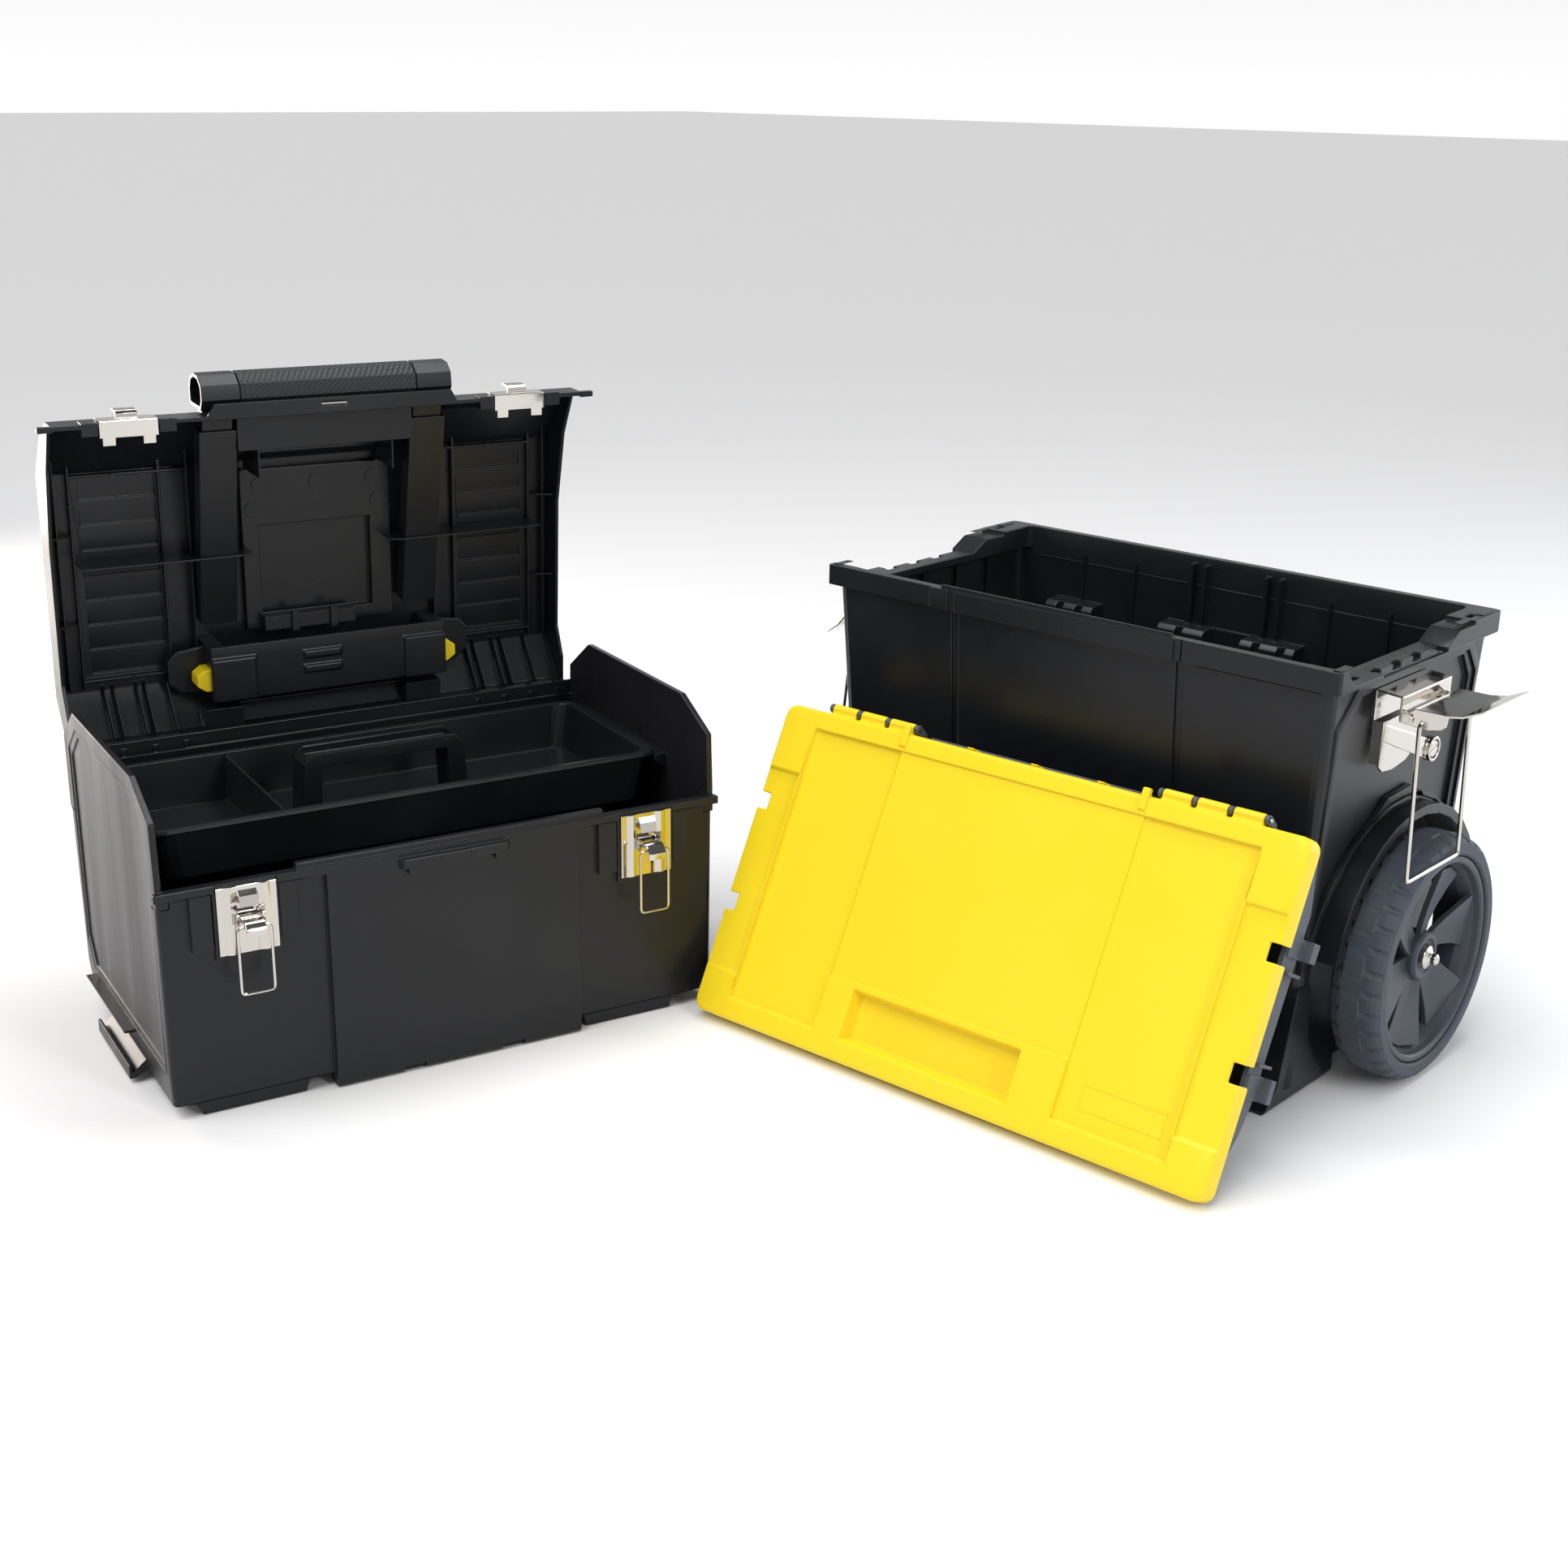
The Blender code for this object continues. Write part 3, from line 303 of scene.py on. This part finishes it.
def dress(ob, mat, body, radius=0.5, segments=2, angle=28.0):
    """Round the edges, shade smoothly, give the material and ride on the body."""
    ob.data.materials.clear()
    ob.data.materials.append(mat)
    for poly in ob.data.polygons:
        poly.use_smooth = True
        poly.material_index = 0
    if radius:
        split_faces(ob.data)
        mod = ob.modifiers.new("edges", "BEVEL")
        mod.width, mod.segments, mod.limit_method = radius * MM, segments, "ANGLE"
        mod.angle_limit = math.radians(angle)
        mod.use_clamp_overlap = False
        deps = bpy.context.evaluated_depsgraph_get()
        me = bpy.data.meshes.new_from_object(ob.evaluated_get(deps))
        ob.modifiers.clear()
        ob.data = me
    ob.data.set_sharp_from_angle(angle=SHARP_ANGLE)
    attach(ob, body)
    return ob


def clean(me, angle=0.6):
    """Merge a mesh's loose corners and flat triangles, and drop its stored normals."""
    me.attributes.remove(me.attributes["custom_normal"])
    bm = bmesh.new()
    bm.from_mesh(me)
    bmesh.ops.remove_doubles(bm, verts=bm.verts, dist=MERGE_DISTANCE)
    bmesh.ops.dissolve_limit(bm, angle_limit=math.radians(angle), verts=bm.verts, edges=bm.edges)
    bm.to_mesh(me)
    bm.free()


def shell_copy(node, name):
    """A copy of a CAD node's mesh, ready for finer details."""
    me = NODES[node].data.copy()
    me.name = name
    clean(me)
    ob = bpy.data.objects.new(name, me)
    bpy.context.collection.objects.link(ob)
    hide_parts(node)
    return ob


def keep(node, name, mat, body, radius, angle=28.0):
    """A CAD shape whose only change is rounded edges."""
    ob = shell_copy(node, name)
    return dress(ob, mat, body, radius, 2, angle)


def many(name, boxes, matrix):
    return gather(name, [box(lo, hi, matrix) for lo, hi in boxes])


def grow(pts, by):
    """Move each point of an outline away from its middle."""
    cu = (min(p[0] for p in pts) + max(p[0] for p in pts)) / 2
    cv = (min(p[1] for p in pts) + max(p[1] for p in pts)) / 2
    return [(u + math.copysign(by, u - cu), v + math.copysign(by, v - cv)) for u, v in pts]


# ---------------------------------------------------------------- bin
def side_x(z):
    return 221.0 + (z - 100.0) * 11.0 / 246.0


def end_panel():
    """Outline of the set-in panel on each end, from the rim down to the wheel arch."""
    turns = [math.radians(a) for a in range(40, 167, 12)]
    arch = [(WHEEL_Y + PANEL_ARCH_R * math.cos(t), WHEEL_R + PANEL_ARCH_R * math.sin(t)) for t in turns]
    return [(-106, 118), (-107, 301), (-82, 329), (92, 329), (110, 308), (112, 186)] + arch


def end_frames():
    """The raised, rounded frame round each end panel."""
    parts = []
    for s in (-1, 1):
        section = ((-2.0, -2.5), (-1.0, 1.5), (1.0, 1.9), (4.5, 1.9), (6.0, 1.5), (7.0, -2.5))
        rings = []
        for k in range(len(end_panel())):
            ring = []
            for by, proud in section:
                y, z = grow(end_panel(), by - 5)[k]
                ring.append((s * (side_x(z) + proud), y, z))
            rings.append(ring)
        parts.append(loft(rings, BIN, closed=True))
    dress(gather("end_frames", parts), BLACK, "bin", 0.4)


def bin_body():
    ob = shell_copy("bin_shell", "bin_skin")
    # the thin line under the front rim, then notches in the blocks on the rear wall
    for s in (-1, 1):
        cut(ob, box((s * 243, -140, 336.6), (s * 120, -126.2, 337.6), BIN))
    notches = [((x, 100, 286), (x + 7, 108, 299)) for x in (-166, -146, -40, -8, 36, 60, 150, 172)]
    cut(ob, many("notches", notches, BIN))
    return dress(ob, BLACK, "bin", 0.8)


def bin_trim():
    """Ribs inside the bin and small pads on its rim."""
    parts = []
    for x in (-150, -96, 96, 150):
        parts += [box((x - 1, 120.5, 284), (x + 1, 124.5, 338), BIN)]
    for s in (-1, 1):
        parts += [box((s * 222.6, y - 1, 240), (s * 219.6, y + 1, 334), BIN) for y in (-70, -24, 24, 70)]
        parts += [box((s * 236, y - 9, 354.9), (s * 230, y + 9, 355.6), BIN) for y in (72, 112, -118)]
    dress(gather("bin_ribs", parts), BLACK, "bin", 0.25)


def spring_eyes(side, s):
    """The two wound eyes on one end latch bracket."""
    parts = []
    for y in (-61.2, 14.6):
        ring = lathe_x([(-0.9, 2.4), (0.9, 2.4), (0.9, 4.4), (-0.9, 4.4)], 0, 0, Matrix.Identity(4), 20)
        ring.data.transform(BIN @ Matrix.Translation((s * 0.2587, y * MM, 0.3115)) @ Matrix.Rotation(
            math.pi / 2, 4, "Z"))
        parts.append(ring)
    dress(gather("lever_eyes_" + side, parts), CHROME, "bin", 0.3)


def wheel_rim(side, s):
    rim = lathe_x([(s * x, r) for x, r in ((232, 71.5), (232, 84.2), (268.6, 84.2), (270, 82.8), (270, 79.6),
                                          (268.4, 78), (264, 76.8), (260, 74.5), (254, 72))],
                  WHEEL_Y, WHEEL_R, BIN, 96)
    hub = lathe_x([(s * x, r) for x, r in ((224, 5.05), (224, 16), (228, 20), (259, 20), (261.8, 18.2),
                                          (261.8, 15), (259.6, 13.4), (259.6, 10.4), (258, 9), (258, 5.05))],
                  WHEEL_Y, WHEEL_R, BIN, 48)
    add(rim, hub)
    stations = ((16.5, 0.52, 0.52, 257, 254), (28, 0.40, 0.38, 258, 253.5), (42, 0.35, 0.33, 260, 254.5),
                (58, 0.35, 0.31, 263, 256.5), (73.5, 0.37, 0.31, 266, 258.5))
    for k in range(SPOKES):
        rings = []
        for r, lead, trail, front, back in stations:
            t = s * (k * math.pi / 3 + SPOKE_START - (r - 16) * SPOKE_SWEEP)
            ring = []
            for w, x in ((lead, front), (0.0, (front + back) / 2 - 1.5), (-trail, back), (-trail, back - 5),
                         (0.0, (front + back) / 2 - 6.5), (lead, front - 5)):
                ring.append((s * x, WHEEL_Y + r * math.cos(t + s * w), WHEEL_R + r * math.sin(t + s * w)))
            rings.append(ring)
        add(rim, loft(rings, BIN))
    rim.name = "rim_" + side
    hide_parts("wheel_rim_" + side)
    dress(rim, WHEEL, "wheel_" + side, 0.7, 3, 30)


def tyre(side, s):
    """Tread with tapered lugs and notched shoulders, made step by step round the wheel."""
    profile = ((230, 86, ""), (230, 93.5, ""), (233, 97.6, "n"), (238.5, 99.2, "n"), (240, 99.2, ""),
               (240.8, 99.2, "w"), (256, 99.2, "m"), (256.8, 99.2, ""), (262.5, 99.2, "n"), (266, 98.6, "n"),
               (269.5, 97, "n"), (272, 93.5, ""), (272, 86, ""), (270.4, 84.5, ""), (231.6, 84.5, ""))
    rings = []
    for j in range(TREAD_STEPS):
        t = 2 * math.pi * j / TREAD_STEPS
        lug, notch = j % (TREAD_STEPS // TREAD_LUGS), j % (TREAD_STEPS // TREAD_NOTCHES)
        ring = []
        for x, r, kind in profile:
            raised = (kind == "w" and 2 <= lug <= 12) or (kind == "m" and 4 <= lug <= 10)
            r += LUG_HEIGHT if raised else 0.0
            r -= NOTCH_DEPTH if kind == "n" and notch < 2 else 0.0
            ring.append((s * x, WHEEL_Y + r * math.cos(t), WHEEL_R + r * math.sin(t)))
        rings.append(ring)
    ob = loft(rings, BIN, closed=True, name="tread_" + side)
    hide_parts("tyre_" + side)
    dress(ob, RUBBER, "wheel_" + side, 0)
    for poly in ob.data.polygons:
        poly.use_smooth = False


def bin_hardware():
    for s, side in ((-1, "left"), (1, "right")):
        keep("bin_latch_bracket_" + side, "end_bracket_" + side, CHROME, "bin", 0.5)
        keep("bin_latch_guard_" + side, "end_guard_" + side, CHROME, "bin", 0.5)
        keep("bin_latch_lever_" + side, "end_lever_" + side, CHROME, "bin_lever_" + side, 0.5)
        keep("bin_latch_bail_" + side, "end_bail_" + side, CHROME, "bin_bail_" + side, 0)
        keep("axle_cap_" + side, "hub_nut_" + side, CHROME, "bin", 0.25)
        spring_eyes(side, s)
        wheel_rim(side, s)
        tyre(side, s)
    keep("wheel_axle", "axle_rod", STEEL, "bin", 0.3)


# ---------------------------------------------------------------- organiser
def outline_bars(x0, y0, x1, y1, w, lo, hi):
    """Four thin bars round a rectangle."""
    return [((x0, y0, lo), (x1, y0 + w, hi)), ((x0, y1 - w, lo), (x1, y1, hi)),
            ((x0, y0, lo), (x0 + w, y1, hi)), ((x1 - w, y0, lo), (x1, y1, hi))]


def organiser():
    keep("organiser_lid", "yellow_cover", YELLOW, "organiser_cover", 1.2)
    bars = outline_bars(126, 33, 196, 52, 0.9, -4.2, -3.6)
    dress(many("blank_label", bars, ORG), YELLOW, "organiser_cover", 0.2)
    bumps = [((x, 268.2, -16), (x + 6, 269.4, -6)) for x in (-196, -166, -136, -60, 0, 60, 130, 160, 190)]
    dress(many("cover_bumps", bumps, ORG), YELLOW, "organiser_cover", 0.3)
    keep("organiser_tray", "parts_tray", SLATE, "organiser", 0.8)
    for side in ("left", "right"):
        keep("organiser_pin_" + side, "cover_pin_" + side, STEEL, "organiser", 0)


# ---------------------------------------------------------------- tool box
def lid():
    ob = shell_copy("toolbox_lid", "lid_skin")
    cutters = []
    for x0, x1 in ((-192, -130), (134, 194)):
        for k in range(SLATS):
            y = SLAT_START + k * SLAT_PITCH
            wedge = [(y, 255.6), (y + SLAT_DEPTH, 255.6), (y + SLAT_DEPTH, 257.7)]
            cutters.append(prism("x", wedge, x0, x1, LID))
    cut(ob, gather("slats", cutters))
    dress(ob, BLACK, "toolbox_cover", 0.6)

    parts = []
    # webs that pass over the guides, with small ones at the ends
    for s in (-1, 1):
        pts = [(s * 200, 256), (s * 200, 223), (s * 108, 221.5), (s * 70, 221.5), (s * 60, 226), (s * 60, 256)]
        parts.append(prism("y", pts, -13.6, -12.2, LID))
        for y in (-36, 38):
            end_web = [(s * 219.6, 256), (s * 219.6, 240), (s * 206, 246), (s * 200, 256)]
            parts.append(prism("y", end_web, y, y + 1.3, LID))
        # long ribs beside the guides and along the ends of the lid
        parts.append(box((s * 106, -112, 244), (s * 107.4, 90, 256), LID))
        parts.append(box((s * 212, -110, 246), (s * 213.2, 96, 256), LID))
    # panel behind the front rim, ledge with two clips over the housing, rods over the plate
    parts.append(box((-74, -131, 204), (74, -104, 206), LID))
    parts += [box((x, -104, 205), (x + 1.4, -80, 250), LID) for x in (-58, 56)]
    parts.append(box((-50, 47, 236), (30, 59, 249), LID))
    parts += [box((x, 44, 233), (x + 6, 61, 238), LID) for x in (-27, 7)]
    parts.append(box((-62, -96, 246), (68, -92, 256), LID))
    parts += [box((x, -96, 246), (x + 1.3, -78, 256), LID) for x in (-50, 56)]
    parts.append(box((-100, 119, 236), (90, 121, 244), LID))
    dress(gather("lid_webs", parts), BLACK, "toolbox_cover", 0.25)

    # round ejector marks
    marks = [cyl("z", x, y, 7, 247.2, 248.1, LID)
             for x, y in ((-46, -64), (4, -64), (54, -64), (-52, -44), (58, -44))]
    marks += [cyl("z", x, y, 1.7, 247.6, 249.6, LID, 12) for x, y in
              ((-200, -60), (-200, -20), (-200, 60), (-128, -52), (-128, 40), (128, -60), (128, 50), (200, -66),
               (200, 30), (-165, -83), (160, -83), (-160, 89), (165, 89))]
    dress(gather("ejector_marks", marks), BLACK, "toolbox_cover", 0.15)


def grip():
    """A weave-faced middle between two plain ends."""
    for name, x0, x1, mat in (("grip_middle", -73.6, 73.6, WEAVE), ("grip_end_left", -120, -74.2, SMOOTH),
                              ("grip_end_right", 74.2, 120, SMOOTH)):
        ob = shell_copy("handle_grip", name)
        boolean(ob, box((x0, -180, 180), (x1, -130, 240), LID), "INTERSECT")
        dress(ob, mat, "handle", 0.7, 2, 40)


def tool_box_body():
    ob = shell_copy("toolbox_body", "box_skin")
    border = grow([(-113, 40), (-113, 222), (-76, 241), (84, 241), (112, 219), (112, 62), (96, 40)], 5)
    for s in (-1, 1):
        cut(ob, prism("x", border, s * 227.6, s * 240, BOX))
    dress(ob, BLACK, "toolbox", 0.7)
    ob.data.materials.append(STREAKED)
    along = BOX.to_3x3() @ Vector((1, 0, 0))
    for poly in ob.data.polygons:
        if abs(poly.normal.dot(along)) > 0.9:
            poly.material_index = 1
    # ribs inside the ends and small stops along the front
    parts = []
    for s in (-1, 1):
        parts += [box((s * 223.7, y, 205), (s * 222.6, y + 1.6, 247), BOX) for y in (-62, -10, 42, 84)]
    parts += [box((x, -127.7, 180), (x + 26, -126, 183), BOX) for x in (-212, -176, 148, 186)]
    # two small hooks under the padlock lip and two bars beside the slot in it
    parts += [box((x, -141.5, 167), (x + 5, -137.5, 173), BOX) for x in (-40, 31)]
    parts += [box((x, -143, 173.5), (x + 2, -142.2, 178.5), BOX) for x in (-14, 10)]
    dress(gather("box_ribs", parts), BLACK, "toolbox", 0.3)


def tool_box():
    tool_box_body()
    lid()
    grip()
    keep("handle_housing", "housing_skin", BLACK, "toolbox_cover", 1.5)
    keep("tote_tray", "tray_skin", BLACK, "tray", 0.9)
    for side in ("left", "right"):
        keep("handle_guide_" + side, "guide_skin_" + side, BLACK, "toolbox_cover", 1.0)
        keep("handle_tube_" + side, "tube_" + side, BLACK, "handle", 0.8)
        keep("lid_catch_" + side, "catch_" + side, CHROME, "toolbox_cover", 0.4)
        keep("release_button_" + side, "button_" + side, YELLOW, "release_" + side, 0.8)
        keep("toolbox_pin_" + side, "hinge_pin_" + side, STEEL, "toolbox", 0)
        keep("toolbox_latch_plate_" + side, "front_plate_" + side, CHROME, "toolbox", 0.3, 50)
        keep("toolbox_latch_lever_" + side, "front_lever_" + side, CHROME, "toolbox_lever_" + side,
             0.4)
        keep("toolbox_latch_bail_" + side, "front_bail_" + side, CHROME, "toolbox_bail_" + side, 0)


# ---------------------------------------------------------------- floor, light and camera
def floor():
    bpy.ops.mesh.primitive_plane_add(size=FLOOR_SIZE, location=(0, 0, -FLOOR_DROP))
    ob = bpy.context.object
    ob.name = "studio_floor"
    ob.data.materials.append(Nodes("pale_floor", (0.86, 0.86, 0.87), 0.7).mat)


def area(name, power, size, place, aim, tint=(1, 1, 1)):
    data = bpy.data.lights.new(name, "AREA")
    data.energy, data.shape, data.size, data.size_y, data.color = power, "RECTANGLE", size[0], size[1], tint
    ob = bpy.data.objects.new(name, data)
    bpy.context.collection.objects.link(ob)
    ob.location = place
    ob.rotation_euler = (Vector(aim) - Vector(place)).to_track_quat("-Z", "Y").to_euler()


def sky(tree, horizon, zenith):
    """A plain studio sky: bright level with the floor, darker overhead."""
    back = tree.nodes["Background"]
    coords = tree.nodes.new("ShaderNodeTexCoord")
    split = tree.nodes.new("ShaderNodeSeparateXYZ")
    fade = tree.nodes.new("ShaderNodeMapRange")
    fade.inputs["From Min"].default_value, fade.inputs["From Max"].default_value = 0.0, 0.55
    fade.inputs["To Min"].default_value, fade.inputs["To Max"].default_value = horizon, zenith
    tree.links.new(coords.outputs["Generated"], split.inputs[0])
    tree.links.new(split.outputs["Z"], fade.inputs["Value"])
    tree.links.new(fade.outputs[0], back.inputs["Strength"])
    back.inputs["Color"].default_value = (1, 1, 1, 1)


def lights():
    world = bpy.data.worlds.new("studio")
    bpy.context.scene.world = world
    world.use_nodes = True
    sky(world.node_tree, 1.0, 0.12)
    sun = bpy.data.lights.new("broad_sun", "SUN")
    sun.energy, sun.angle = 2.2, math.radians(50)
    ob = bpy.data.objects.new("broad_sun", sun)
    bpy.context.collection.objects.link(ob)
    ob.rotation_euler = (math.radians(28), math.radians(-14), math.radians(20))
    area("top_softbox", 16, (1.6, 0.5), (-0.1, 0.3, 1.9), (0, 0, 0.2))
    area("right_softbox", 20, (2.2, 1.4), (1.5, 2.0, 0.75), (0.4, 0.3, 0.15), (0.90, 0.95, 1.0))
    area("high_softbox", 18, (0.4, 1.3), (2.3, -0.3, 1.5), (-0.3, 0, 0.35))
    area("left_softbox", 24, (0.9, 0.8), (-2.1, -0.42, 0.45), (-0.4, -0.3, 0.1), (1.0, 0.90, 0.82))


def colours():
    bpy.context.scene.view_settings.view_transform = "Standard"


def camera():
    data = bpy.data.cameras.new("view")
    data.lens, data.sensor_width = CAMERA_LENS, CAMERA_SENSOR
    ob = bpy.data.objects.new("view", data)
    bpy.context.collection.objects.link(ob)
    turn = (Matrix.Rotation(CAMERA_TURN, 4, "Z") @ Matrix.Rotation(math.pi / 2 - CAMERA_DOWN, 4, "X")
            @ Matrix.Rotation(CAMERA_ROLL, 4, "Z"))
    ob.matrix_world = Matrix.Translation((OFFSET[0] + 0.886, OFFSET[1] - 1.431, 0.747)) @ turn
    bpy.context.scene.camera = ob


colours()
camera()
floor()
lights()
bin_body()
bin_trim()
end_frames()
bin_hardware()
organiser()
tool_box()

bpy.context.view_layer.update()
